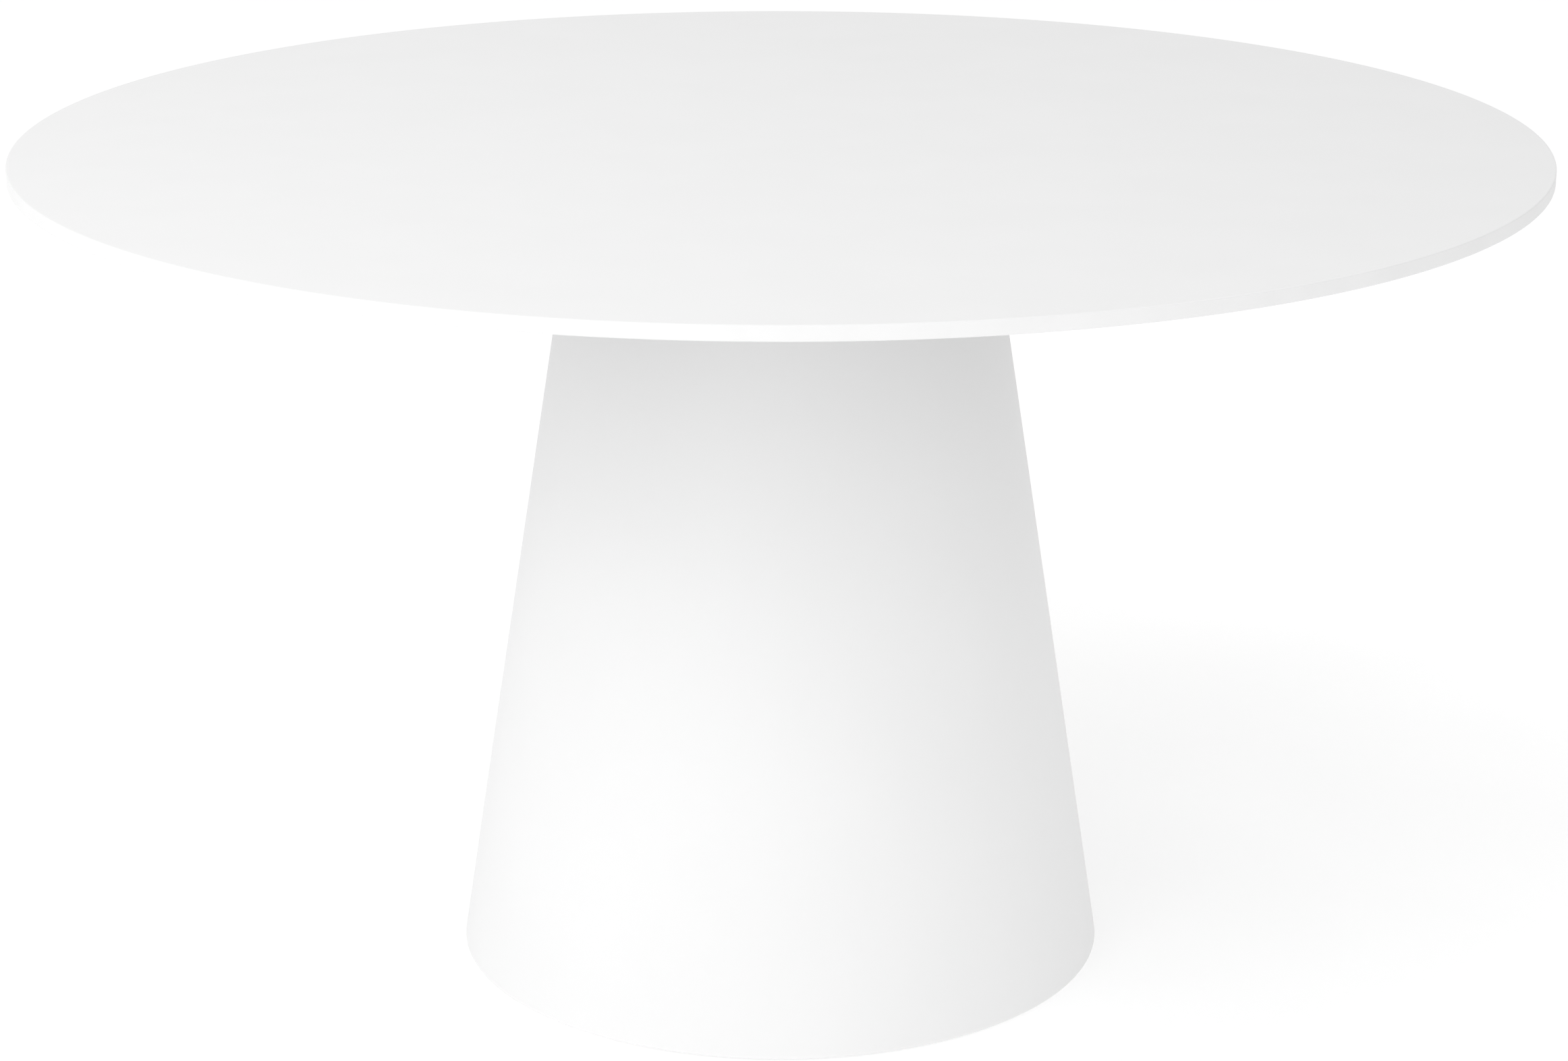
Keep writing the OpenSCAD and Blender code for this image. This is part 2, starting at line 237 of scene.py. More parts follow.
def rounded_rectangle(width, height, corner, steps=6):
    """Closed loop: a quarter circle (corner cos a, corner sin a) round each corner's centre."""
    quarter = np.linspace(0.0, math.pi / 2, steps + 1)
    a = (np.arange(4)[:, None] * math.pi / 2 + quarter).ravel()
    sign_x, sign_y = np.repeat([[1, -1, -1, 1], [1, 1, -1, -1]], steps + 1, axis=1)
    points = np.stack([sign_x * (width / 2 - corner) + corner * np.cos(a),
                       sign_y * (height / 2 - corner) + corner * np.sin(a)], axis=-1)
    return np.concatenate([points, points[:1]])


def grown(loop, distance):
    """A closed loop moved outwards, each point by distance * (n1 + n2) / (1 + n1 . n2).

    n1 and n2 are the outward directions of the two edges that meet there.
    """
    edges = np.diff(loop, axis=0)
    normals = np.stack([edges[:, 1], -edges[:, 0]], axis=-1)
    normals /= np.linalg.norm(edges, axis=1)[:, None]
    before = np.roll(normals, 1, axis=0)
    push = (before + normals) / (1.0 + (before * normals).sum(axis=1, keepdims=True))
    points = loop[:-1] + distance * push
    return np.concatenate([points, points[:1]])


def level(loop, z):
    """A loop's points at a height, as rows of x, y, z."""
    return np.column_stack([loop, np.full(len(loop), float(z))])


def face(surface, outer, holes, z):
    """Adds a level face at z, inside the outer loop and outside each hole loop."""
    loops = [one[:-1] for one in (outer, *holes)]
    starts = np.cumsum([0] + [len(one) for one in loops])
    rings = [list(range(a, b)) for a, b in zip(starts[:-1], starts[1:])]
    xy, _, triangles, _, _, origin = delaunay_2d_cdt(
        np.concatenate(loops).tolist(), [], rings, 0, SEAM)
    kept = [triangle for triangle, source in zip(triangles, origin) if source == [0]]
    surface.add(level(np.array([point[:] for point in xy]), z), kept)


def turned_at(surface, profile, columns, places):
    """Adds a profile of (radius, height) points, turned about a vertical axis at each place."""
    for turn, out in places:
        surface.grid(np.stack([level(circle(r, columns, out, turn), z) for r, z in profile]))


def plate(outer, holes, low, high, ease):
    """A plate: walls carried up each loop, a bevel ease wide at every rim, and two level faces."""
    surface = Surface()
    for loop, side in [(outer, -1)] + [(hole, 1) for hole in holes]:
        inset = grown(loop, side * ease)
        surface.grid(np.stack([level(inset, low), level(loop, low + ease), level(loop, high - ease),
                               level(inset, high)]))
    for z in (low, high):
        face(surface, grown(outer, -ease), [grown(hole, ease) for hole in holes], z)
    return surface

# %% [markdown]
# ## The camera
#
# The table is seen from standing height, a little over three metres away, with a long lens. A long
# lens from further back keeps the disc's ellipse calm. The tiny turn and roll are those of a camera
# that was levelled by eye.

# %% Place the camera
EYE = (0.0, -3.150, 1.365)
TILT_DOWN = 0.3035
TURN_RIGHT = 0.0009
ROLL = 0.0013
LENS_MM = 85.91
SENSOR_MM = 36.0

camera_data = bpy.data.cameras.new("camera")
camera_data.lens = LENS_MM
camera_data.sensor_width = SENSOR_MM
camera = bpy.data.objects.new("camera", camera_data)
scene.collection.objects.link(camera)
camera.matrix_world = (Matrix.Translation(EYE) @ Matrix.Rotation(-TURN_RIGHT, 4, "Z")
                       @ Matrix.Rotation(math.pi / 2 - TILT_DOWN, 4, "X")
                       @ Matrix.Rotation(ROLL, 4, "Z"))
scene.camera = camera
print(f"camera {math.hypot(*EYE[:2]):.2f} m from the axis, "
      f"{math.degrees(TILT_DOWN):.1f} degrees down")

# %% [markdown]
# ## Light and floor
#
# White furniture is usually shown on white: a pale floor that glows a little, large soft lights
# from the front left and above, and a pale surround that fills the shadows. The table is told apart
# from the floor only by gentle grey steps, so the lights are kept big and low in contrast.

# %% Light the set
scene.view_settings.view_transform = "Standard"
scene.view_settings.look = "None"

SURROUND = 0.78
WHITE = (1.0, 1.0, 1.0, 1.0)
scene.world = bpy.data.worlds.new("surround")
scene.world.use_nodes = True
background = scene.world.node_tree.nodes["Background"]
background.inputs["Color"].default_value = WHITE
background.inputs["Strength"].default_value = SURROUND


def soft_light(name, place, size, power):
    """A square area light at place, turned about Z and then tilted so that it faces AIM."""
    data = bpy.data.lights.new(name, "AREA")
    data.shape, data.size, data.energy = "SQUARE", size, power
    lamp = bpy.data.objects.new(name, data)
    scene.collection.objects.link(lamp)
    x, y, z = (a - b for a, b in zip(place, AIM))
    lamp.matrix_world = (Matrix.Translation(place) @ Matrix.Rotation(math.atan2(x, -y), 4, "Z")
                         @ Matrix.Rotation(math.atan2(math.hypot(x, y), z), 4, "X"))


AIM = (0.0, 0.0, 0.45)
WIDE, WIDEST = 2.4, 3.0
soft_light("key_front_left", (-2.6, -2.6, 2.4), WIDE, 16.2)
soft_light("fill_front", (-1.2, -3.6, 1.8), WIDE, 18.8)
soft_light("overhead", (-1.4, -1.4, 3.2), WIDEST, 23.0)
soft_light("fill_right", (3.2, -1.8, 1.8), WIDE, 2.5)
soft_light("back", (-1.0, 3.0, 2.6), WIDE, 4.1)
print(len(bpy.data.lights), "lights,", sum(light.energy for light in bpy.data.lights), "W in all")

# %% [markdown]
# The floor is a plain round sheet, big enough for a level horizon in every view of the table. It is
# pale, and gives off an even light of its own, like a lit table in a studio. That light climbs the
# cone from below, keeps its foot as bright as its waist, and leaves only a breath of shadow beside
# it.

# %% Lay the floor
FLOOR_REACH, FLOOR_COLUMNS = 30.0, 256
FLOOR_GLOW = 0.40
floor_mesh = bpy.data.meshes.new("studio_floor")
floor_mesh.from_pydata(level(circle(FLOOR_REACH, FLOOR_COLUMNS)[:-1], 0.0), [],
                       [range(FLOOR_COLUMNS)])
floor = bpy.data.objects.new("studio_floor", floor_mesh)
scene.collection.objects.link(floor)
print(f"floor {2 * FLOOR_REACH:.0f} m across")

# %% [markdown]
# ## Finishes
#
# A finish is built from what the real surface is. Colour and roughness drift in patches, as they do
# on any real surface, and a fine relief stands for its grain. The helpers turn an sRGB hex colour
# into the linear values that the shader works in, and add one node with its settings and links.

# %% Node helpers
NODE_SPACING = 200
MIDDLE_RANGE = (0.35, 0.65)


def linear(hex_colour):
    """sRGB hex to linear colour: c / 12.92 below 0.04045, else ((c + 0.055) / 1.055) ^ 2.4."""
    srgb = np.array([int(hex_colour[i:i + 2], 16) for i in (1, 3, 5)]) / 255
    low, high = srgb / 12.92, ((srgb + 0.055) / 1.055) ** 2.4
    return (*np.where(srgb <= 0.04045, low, high), 1.0)


def add(tree, kind, inputs=(), outputs=(), **settings):
    """Adds a node. inputs pairs a socket with a value or link, outputs with the socket it feeds."""
    node = tree.nodes.new(kind)
    node.location = (NODE_SPACING * len(tree.nodes), 0)
    for name, value in settings.items():
        setattr(node, name, value)
    for socket, value in inputs:
        if isinstance(value, bpy.types.NodeSocket):
            tree.links.new(value, node.inputs[socket])
        else:
            node.inputs[socket].default_value = value
    for socket, target in outputs:
        tree.links.new(node.outputs[socket], target)
    return node


def per_mm(size_mm):
    """Scale of a texture whose features should be size_mm across, on coordinates in metres."""
    return 1.0 / (size_mm * MM)


def finish(name, colours, patch_mm, roughness, constants, kind=None, size_mm=1.0, high_mm=0.0,
           output="Fac", stretch=1.0, inputs=(), **settings):
    """A material: colour and roughness that drift in patches, and a relief high_mm high.

    One noise, with patches patch_mm across, runs over its middle range from the first colour to the
    second, and over the whole of it from the first roughness to the second. The relief is a texture
    of the given kind with features size_mm across, drawn out level by the stretch.
    """
    material = bpy.data.materials.new(name)
    material.use_nodes = True
    tree = material.node_tree
    shader = tree.nodes["Principled BSDF"]
    for socket, value in constants.items():
        shader.inputs[socket].default_value = value
    place = add(tree, "ShaderNodeTexCoord").outputs["Object"]
    patches = add(tree, "ShaderNodeTexNoise",
                  [("Vector", place), ("Scale", per_mm(patch_mm)), ("Detail", 2.0)]).outputs["Fac"]
    shades = add(tree, "ShaderNodeValToRGB", [("Fac", patches)],
                 [("Color", shader.inputs["Base Color"])])
    for stop, position, colour in zip(shades.color_ramp.elements, MIDDLE_RANGE, colours):
        stop.position, stop.color = position, linear(colour)
    add(tree, "ShaderNodeMapRange",
        [("Value", patches), ("To Min", roughness[0]), ("To Max", roughness[1])],
        [("Result", shader.inputs["Roughness"])])
    if kind:
        if stretch != 1.0:
            place = add(tree, "ShaderNodeMapping", [("Vector", place), ("Scale", (1, 1, stretch))]
                        ).outputs["Vector"]
        relief = add(tree, kind, [("Vector", place), ("Scale", per_mm(size_mm * stretch)), *inputs],
                     **settings)
        add(tree, "ShaderNodeBump",
            [("Height", relief.outputs[output]), ("Distance", high_mm * MM)],
            [("Normal", shader.inputs["Normal"])])
    print("finish:", name)
    return material


NOISE = "ShaderNodeTexNoise"
PLASTIC, METAL = {"IOR": 1.5}, {"Metallic": 1.0}

# %% [markdown]
# ### White compact laminate
#
# Paper sheets soaked in resin and pressed hot into a solid board. A super-matt press plate leaves a
# very fine, even grain, so light spreads wide and only a low glance shows any gloss. The grain is
# about 0.1 mm across, and is drawn at 0.6 mm, the finest that shows.

# %% Laminate finish
laminate = finish("compact_laminate_white_pressed_matt", ("#eeeeee", "#efefef"), 90.0, (0.46, 0.52),
                  PLASTIC, NOISE, 0.6, 0.006)

# %% [markdown]
# ### The milled edge, with painted shade
#
# A router cuts through the pressed sheets and leaves their solid white core showing. It is sanded
# round the rim, so it is duller than the pressed faces, with fine level scratches. They lie about
# 0.1 mm apart, and are drawn 0.5 mm apart and 30 times as long. Its colour is painted a shade
# greyer than the pressed faces: painted shade, which darkens the upright rim beyond what the lights
# give it.

# %% Milled edge finish, painted a shade greyer
milled_and_shaded = finish("compact_laminate_white_milled_painted_shade", ("#e7e7e7", "#e9e9e9"), 40.0, (0.60, 0.68),
                PLASTIC, NOISE, 0.5, 0.01, stretch=30.0, inputs=[("Detail", 3.0)])

# %% [markdown]
# ### Grey underside: painted shade
#
# The board's underside is painted mid-grey, with a fine paper-like grain: painted shade, standing
# for the shade under the disc. It is seen only from below, but it matters from above too: it sends
# less light back down onto the cone, so the cone's top is darker, as in the disc's shadow.

# %% Underside finish, painted shade grey
underside_painted_shade = finish("laminate_underside_painted_shade_grey", ("#9e9e9e", "#a4a4a4"), 30.0, (0.55, 0.65),
                 PLASTIC, NOISE, 1.5, 0.02, inputs=[("Detail", 4.0)])

# %% [markdown]
# ### Rotomoulded polyethylene
#
# White powder melted on the inside of a turning mould. The skin copies the mould's blasted face, so
# it is matt with a soft orange peel, and the wall's thickness wanders enough to cloud it very
# faintly.

# %% Moulded shell finish
moulded = finish("polyethylene_white_rotomoulded", ("#f0f0f0", "#f1f1f1"), 140.0, (0.50, 0.58),
                 PLASTIC, NOISE, 3.0, 0.02, inputs=[("Detail", 3.0)])

# %% [markdown]
# ### Black powder-coated steel
#
# Sprayed powder, baked until it flows. It sets in shallow pebbles about a millimetre across, with a
# dull gloss on their tops.

# %% Powder coat finish
powder = finish("steel_powder_coated_black", ("#1b1b1c", "#242426"), 60.0, (0.48, 0.60), PLASTIC,
                "ShaderNodeTexVoronoi", 1.2, 0.15, "Distance", feature="SMOOTH_F1")

# %% [markdown]
# ### Zinc-plated steel
#
# Cold-formed fasteners, plated bright and passivated. The plate is thin, so it keeps faint rolling
# marks, and the passivation drifts between a bluish and a warm grey.

# %% Zinc finish
zinc = finish("steel_zinc_plated_passivated", ("#bcc0c6", "#c9c8c2"), 6.0, (0.24, 0.40), METAL,
              NOISE, 0.7, 0.008, inputs=[("Detail", 4.0)])

# %% [markdown]
# ### Turned brass, rubber and polyamide
#
# The inserts are turned from bar, and keep the tool's fine rings. The rubber is cut from sheet and
# has a dusty matt skin. The black plastic is injection-moulded polyamide with a fine spark-eroded
# grain.

# %% Small parts' finishes
brass = finish("brass_turned", ("#c9a55c", "#d6b56e"), 5.0, (0.22, 0.34), METAL,
               "ShaderNodeTexWave", 0.8, 0.01, bands_direction="Z")
rubber = finish("epdm_rubber_sheet", ("#151515", "#1f1e1d"), 8.0, (0.78, 0.90), PLASTIC,
                NOISE, 0.5, 0.03, inputs=[("Detail", 4.0)])
polyamide = finish("polyamide_black_moulded", ("#161617", "#1e1e1f"), 10.0, (0.42, 0.52),
                   {"IOR": 1.53}, NOISE, 0.4, 0.02)

# %% [markdown]
# ### The studio floor
#
# Not part of the table: plain pale board with an even glow.

# %% Floor finish
board = finish("studio_board_white", ("#e0e0e0", "#e3e3e3"), 400.0, (0.85, 0.90),
               {"Emission Color": WHITE, "Emission Strength": FLOOR_GLOW})
floor_mesh.materials.append(board)

# %% [markdown]
# ## Handing a piece to the frame
#
# A piece that stands for CAD nodes hides them, rides on their body and takes their finish's slot.

# %% Dress a piece
BY_SLOT = {"laminate": laminate, "moulded_plastic": moulded, "coated_steel": powder,
           "zinc_steel": zinc, "brass": brass, "rubber": rubber, "black_plastic": polyamide}


def dress(piece, slot, body="table", instead_of=()):
    """Gives a piece its slot and that slot's finish, its body and the CAD nodes it stands for."""
    piece.data.materials.append(BY_SLOT[slot])
    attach(piece, body)
    if instead_of:
        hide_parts(*instead_of)
    print(f"{piece.name}: {len(piece.data.polygons)} faces")
    return piece


# %% [markdown]
# ## Where the repeated parts sit
#
# Four arms lie on the diagonals, with a bolt between each two, and two screws through each. Six
# feet and six screws take turns round the base. Each place is an angle and a distance from the
# table's axis. The feet turn about joints, so their places are read from the joints themselves.

# %% Places
ARM_TURNS = [math.radians(45 + 90 * k) for k in range(4)]
BOLT_TURNS = [math.radians(90 * k) for k in range(4)]
SCREW_TURNS = [math.radians(30 + 60 * k) for k in range(6)]
TOP_SCREWS_OUT = (215.0 * MM, 401.0 * MM)
HUB_BOLTS_OUT, SHELL_SCREWS_OUT = 61.55 * MM, 258.0 * MM
TOP_SCREWS = [(turn, out) for turn in ARM_TURNS for out in TOP_SCREWS_OUT]
HUB_BOLTS = [(turn, HUB_BOLTS_OUT) for turn in BOLT_TURNS]
SHELL_SCREWS = [(turn, SHELL_SCREWS_OUT) for turn in SCREW_TURNS]
ARMS = [(turn, 0.0) for turn in ARM_TURNS]
foot_axes = [joint["pos_m"] for joint in frame["joints"] if joint["name"].endswith("_turn")]
FEET = [(math.atan2(y, x), math.hypot(x, y)) for x, y, _ in foot_axes]
print(len(FEET), "feet,", ", ".join(f"{out / MM:.2f}" for _, out in FEET), "mm out")

# %% [markdown]
# ## The disc
#
# The disc is cut from 12 mm board on a router, and both rims are eased with a small radius. That
# little curve matters most: it catches a thin bright line all the way round. The rim is a turned
# profile. The upper face is flat to the centre, and the underside has eight blind holes for the
# inserts.

# %% Turn the disc
DISC_COLUMNS, HOLE_COLUMNS, BOLT_COLUMNS = 720, 24, 48
RIM_EASE = 1.2 * MM
FLAT = top_radius - 6 * MM
HOLE, HOLE_TOP = 5.05 * MM, top_low + 9.0 * MM


def hole_loops(r, places, columns=HOLE_COLUMNS):
    """Closed loops of radius r at the places."""
    return [circle(r, columns, out, turn) for turn, out in places]


rim = eased([(FLAT, top_low), (top_radius, top_low), (top_radius, top_high), (FLAT, top_high),
             (0.0, top_high)], [RIM_EASE, RIM_EASE, 0.0])
disc = Surface().grid(turned(rim, angles(DISC_COLUMNS)))
face(disc, circle(FLAT, DISC_COLUMNS), hole_loops(HOLE, TOP_SCREWS), top_low)
turned_at(disc, [(HOLE, top_low), (HOLE, HOLE_TOP), (0.0, HOLE_TOP)], HOLE_COLUMNS, TOP_SCREWS)
disc = dress(disc.object("laminate_disc"), "laminate", instead_of=["tabletop"])

# %% [markdown]
# The way a face points tells which finish it has: level and downwards is the grey underside,
# painted shade, upright is the milled edge, painted a shade greyer, and the rest is the pressed face.

# %% Share out the disc's three finishes
DOWN, UPRIGHT = -0.99, 0.8
# The underside's finish is painted shade: a mid-grey standing for the shade under the disc.
disc.data.materials.append(underside_painted_shade)
# The upright rim's finish carries painted shade: its colour is a shade greyer than the pressed face.
disc.data.materials.append(milled_and_shaded)
normals = np.empty(len(disc.data.polygons) * 3)
disc.data.polygons.foreach_get("normal", normals)
up = normals[2::3]
finish_of_face = np.where(up < DOWN, 1, np.where(np.abs(up) < UPRIGHT, 2, 0))
disc.data.polygons.foreach_set("material_index", finish_of_face.astype(np.int32))
print("pressed, shade_grey and milled faces:", np.bincount(finish_of_face))

# %% [markdown]
# ## The cone
#
# The pedestal is one hollow moulding. Its section is an outline: up the outer wall, over the rim,
# down inside to the deck that the steel core clamps, back to the wall, and down to the ledge and
# skirt that hide the base plate. The long straight side has no feature at all, so its outline must
# be exactly straight and its rims crisply eased.

# %% Sizes of the cone
WALL = 6.0 * MM
FOOT_RADIUS, RIM_RADIUS = 286.0 * MM, 173.0 * MM
FOOT_EASE, RIM_ROUND = 2.5 * MM, 1.5 * MM
SKIRT = 12.0 * MM
DECK_HOLE, LEDGE_HOLE = 90.05 * MM, 247.0 * MM
deck_high = heights("hub_gasket")[0]
deck_low = deck_high - WALL
plate_high = heights("base_plate")[1]
ledge_high = plate_high + WALL
SLOPE = (RIM_RADIUS - FOOT_RADIUS) / (shell_high - shell_low)
print(f"the wall leans {math.degrees(math.atan(-SLOPE)):.2f} degrees")


def cone_radius(z):
    """Radius of the outer wall at a height: a straight line from the foot to the rim."""
    return FOOT_RADIUS + SLOPE * (z - shell_low)


def wall_radius(z):
    """Radius of the inner wall at a height."""
    return cone_radius(z) - WALL

# %% [markdown]
# Four notches in the rim let the arms out. The moulder makes them with blocks in the mould, so
# their edges are soft. Here the rim itself dips: every point near the rim slides down along the
# wall by a depth that rises from nothing to the full notch over a millimetre and a half of the rim.

# %% The rim's dip at each arm
NOTCH_HALF, NOTCH_EDGE, NOTCH_UNDER = 21.5 * MM, 1.5 * MM, 2 * MM
CONE_COLUMNS = 480
notch_depth = shell_high - (heights("spider_arm_1")[0] - NOTCH_UNDER)


def dip(angle):
    """Depth of the rim at an angle: a smooth step, 3 s^2 - 2 s^3, on each side of each arm."""
    from_arm = np.abs(np.mod(angle - ARM_TURNS[0] + math.pi / 4, math.pi / 2) - math.pi / 4)
    s = np.clip((NOTCH_HALF + NOTCH_EDGE / 2 - from_arm * RIM_RADIUS) / NOTCH_EDGE, 0.0, 1.0)
    return notch_depth * (3 * s ** 2 - 2 * s ** 3)


# Extra columns stand close together at the eight edges of the notches, where the rim falls.
edge_angles = [turn + side * (NOTCH_HALF + step * NOTCH_EDGE) / RIM_RADIUS
               for turn in ARM_TURNS for side in (-1, 1) for step in np.linspace(-0.6, 0.6, 13)]
cone_angles = np.unique(np.concatenate([angles(CONE_COLUMNS)[:-1], edge_angles]))
cone_angles = np.append(cone_angles, 0.0)
fall = dip(cone_angles)
print(len(cone_angles) - 1, "columns")

# %% [markdown]
# The section then goes round in two strips: one from the skirt, over the rim and back to the ledge,
# and one for the ledge's lip. What lies between them is cut flat, because the bosses stand there.

# %% Turn the cone
UPPER = 700.0 * MM
SKIRT_INSIDE = FOOT_RADIUS - SKIRT
LEDGE_FLAT = wall_radius(ledge_high) - 2 * MM
LIP_FLAT = LEDGE_HOLE + 1 * MM
outside = eased([
    (SKIRT_INSIDE, plate_high), (SKIRT_INSIDE, shell_low), (cone_radius(shell_low), shell_low),
    (cone_radius(shell_high), shell_high), (wall_radius(shell_high), shell_high),
    (wall_radius(deck_high), deck_high), (DECK_HOLE, deck_high), (DECK_HOLE, deck_low),
    (wall_radius(deck_low), deck_low), (wall_radius(ledge_high), ledge_high),
    (LEDGE_FLAT, ledge_high),
], [0.5 * MM, FOOT_EASE, RIM_ROUND, RIM_ROUND, 1 * MM, 0.5 * MM, 0.5 * MM, 2 * MM, 2 * MM])
rows = [(r - SLOPE * fall, z - fall) if z > UPPER else (r, z) for r, z in outside]
cone = Surface().grid(turned(rows, cone_angles))
lip = eased([(LIP_FLAT, ledge_high), (LEDGE_HOLE, ledge_high), (LEDGE_HOLE, plate_high),
             (LIP_FLAT, plate_high)], [0.5 * MM, 0.5 * MM])
cone.grid(turned(lip, cone_angles))
print(len(rows) + len(lip), "rows in the section")

# %% [markdown]
# Six bosses stand on the ledge, each with a blind hole from below. They are moulded with the wall
# and eased at the top. The ledge's two faces are cut to fit them.

# %% Add the bosses
BOSS, BOSS_HIGH = 10.0 * MM, plate_high + 16.0 * MM
WELL, WELL_HIGH = 4.55 * MM, plate_high + 13.0 * MM


def around_axis(r):
    """Closed loop of radius r with the cone's own columns."""
    return turned([(r, 0.0)], cone_angles)[0, :, :2]


face(cone, around_axis(LEDGE_FLAT),
     [around_axis(LIP_FLAT), *hole_loops(BOSS, SHELL_SCREWS, BOLT_COLUMNS)], ledge_high)
face(cone, around_axis(SKIRT_INSIDE),
     [around_axis(LIP_FLAT), *hole_loops(WELL, SHELL_SCREWS)], plate_high)
boss = eased([(BOSS, ledge_high), (BOSS, BOSS_HIGH), (0.0, BOSS_HIGH)], [1 * MM])
turned_at(cone, boss, BOLT_COLUMNS, SHELL_SCREWS)
turned_at(cone, [(WELL, plate_high), (WELL, WELL_HIGH), (0.0, WELL_HIGH)], HOLE_COLUMNS,
          SHELL_SCREWS)
dress(cone.object("moulded_cone"), "moulded_plastic", instead_of=["pedestal_shell"])

# %% [markdown]
# ## Arms
#
# Each arm is a length of box section, cold-rolled and welded into a tube, so its corners are round
# outside and tighter inside. Two screws pass through it. The sides and round corners are strips of
# the rounded rectangle, and the flat faces above and below are cut round the holes.

# %% Make the arms
ARM_WIDE, ARM_WALL, ARM_ROUND, ARM_INNER = 40.0 * MM, 2.0 * MM, 3.0 * MM, 1.5 * MM
ARM_FROM, ARM_TO = 48.0 * MM, 435.0 * MM
SCREW_HOLE = 3.5 * MM
STEPS = 6
QUARTER = STEPS + 1
arm_low, arm_high = heights("spider_arm_1")
ARM_TALL = arm_high - arm_low
arm_middle = (arm_low + arm_high) / 2


def along(loop, x):
    """A loop of (y, z) standing across the arm at x, with z measured from the arm's middle."""
    return np.stack([np.full(len(loop), x), loop[:, 0], loop[:, 1] + arm_middle], axis=-1)


arm = Surface()
for wall, corner in ((0.0, ARM_ROUND), (ARM_WALL, ARM_INNER)):
    section = rounded_rectangle(ARM_WIDE - 2 * wall, ARM_TALL - 2 * wall, corner, STEPS)
    left = section[QUARTER:3 * QUARTER]
    right = np.concatenate([section[3 * QUARTER:4 * QUARTER], section[:QUARTER]])
    for side in (left, right):
        arm.grid(np.stack([along(side, ARM_FROM), along(side, ARM_TO)]))
    half = ARM_WIDE / 2 - wall - corner
    flat = np.array([(ARM_FROM, -half), (ARM_TO, -half), (ARM_TO, half), (ARM_FROM, half),
                     (ARM_FROM, -half)])
    arm_holes = [circle(SCREW_HOLE, HOLE_COLUMNS, out) for out in TOP_SCREWS_OUT]
    for z in (arm_low + wall, arm_high - wall):
        face(arm, flat, arm_holes, z)
for hole in arm_holes:
    for z in (arm_low, arm_high - ARM_WALL):
        arm.grid(np.stack([level(hole, z), level(hole, z + ARM_WALL)]))
for x in (ARM_FROM, ARM_TO):
    inner = rounded_rectangle(ARM_WIDE - 2 * ARM_WALL, ARM_TALL - 2 * ARM_WALL, ARM_INNER)
    outer = rounded_rectangle(ARM_WIDE, ARM_TALL, ARM_ROUND)
    arm.grid(np.stack([along(outer, x), along(inner, x)]))
for number, place in enumerate(ARMS, 1):
    dress(arm.at([place]).object(f"arm_{number}"), "coated_steel",
          instead_of=[f"spider_arm_{number}"])

# %% [markdown]
# ## End caps
#
# A cap is moulded polyamide: a face plate with a soft rim, and a plug with two grooves that help it
# grip the tube. It is a stack of rounded rectangles, each a little larger or smaller than the last.
# The plug's rows are pairs in millimetres: how far along the arm, and how far inset.

# %% Make the end caps
CAP_FACE, CAP_SIDE, CAP_ROUND, CAP_FLAT = 3.0 * MM, 2.0 * MM, 1.0 * MM, 1.8 * MM
PLUG_SMALLER, PLUG_ROUND = 2.1 * ARM_WALL, 1.5 * MM
plug = [(-12.0, 1.2), (-11.4, 0.3), (-9.6, 0.0), (-9.2, 0.7), (-6.6, 0.7), (-6.0, 0.0),
        (-5.6, 0.7), (0.0, 0.7)]


def cap_row(x, smaller, corner):
    """The arm's outline, smaller by that much in width and height, at x past the arm's end."""
    return along(rounded_rectangle(ARM_WIDE - smaller, ARM_TALL - smaller, corner), ARM_TO + x)


rows = [cap_row(x * MM, PLUG_SMALLER + 2 * inset * MM, PLUG_ROUND) for x, inset in plug]
cap_side = [(0.0, 0.0), (1.4 * MM, 0.0), (CAP_SIDE, 0.0)]
cap_rim = [(CAP_SIDE + CAP_ROUND * math.sin(a), CAP_ROUND * (1 - math.cos(a)))
           for a in np.linspace(0.0, math.pi / 2, 7)]
rows += [cap_row(x, 2 * inset, ARM_ROUND - inset)
         for x, inset in cap_side + cap_rim + [(CAP_FACE, CAP_FLAT)]]
centre = np.zeros((4 * QUARTER + 1, 2))
plug_end, face_middle = along(centre, rows[0][0, 0]), along(centre, ARM_TO + CAP_FACE)
cap = Surface().grid(np.stack([plug_end, *rows, face_middle]))
dress(cap.at(ARMS).object("arm_caps"), "black_plastic", instead_of=["arm_end_caps"])

# %% [markdown]
# ## Rubber pads
#
# Strips of rubber sheet keep the board off the steel. Under the screws' pull their sides bulge: the
# outline grows by 0.5 mm times 4 t (1 - t), where t runs from the lower face to the upper one.

# %% Make the pads
PAD_LONG, PAD_WIDE, PAD_CORNER, BULGE = 60.0 * MM, 30.0 * MM, 2.0 * MM, 0.5 * MM
pad_low, pad_high = heights("rubber_pads")
outline = rounded_rectangle(PAD_LONG, PAD_WIDE, PAD_CORNER)
pad_hole = circle(SCREW_HOLE, HOLE_COLUMNS)
pad = Surface()
pad.grid(np.stack([
    level(grown(outline, BULGE * 4 * t * (1 - t)), pad_low + t * (pad_high - pad_low))
    for t in np.linspace(0.0, 1.0, 9)]))
pad.grid(np.stack([level(pad_hole, z) for z in (pad_low, pad_high)]))
for z in (pad_low, pad_high):
    face(pad, outline, [pad_hole], z)
dress(pad.at(TOP_SCREWS).object("squeezed_pads"), "rubber", instead_of=["rubber_pads"])

# %% [markdown]
# ## Plates of the steel core
#
# The hub plate, the flange and the base plate are cut from sheet by laser. Their edges are ground
# to a small bevel before coating, because powder pulls away from a sharp edge. The holes are given
# by radius: clear for the bolts in the hub, tapped in the flange, and clear for stems and screws in
# the base.

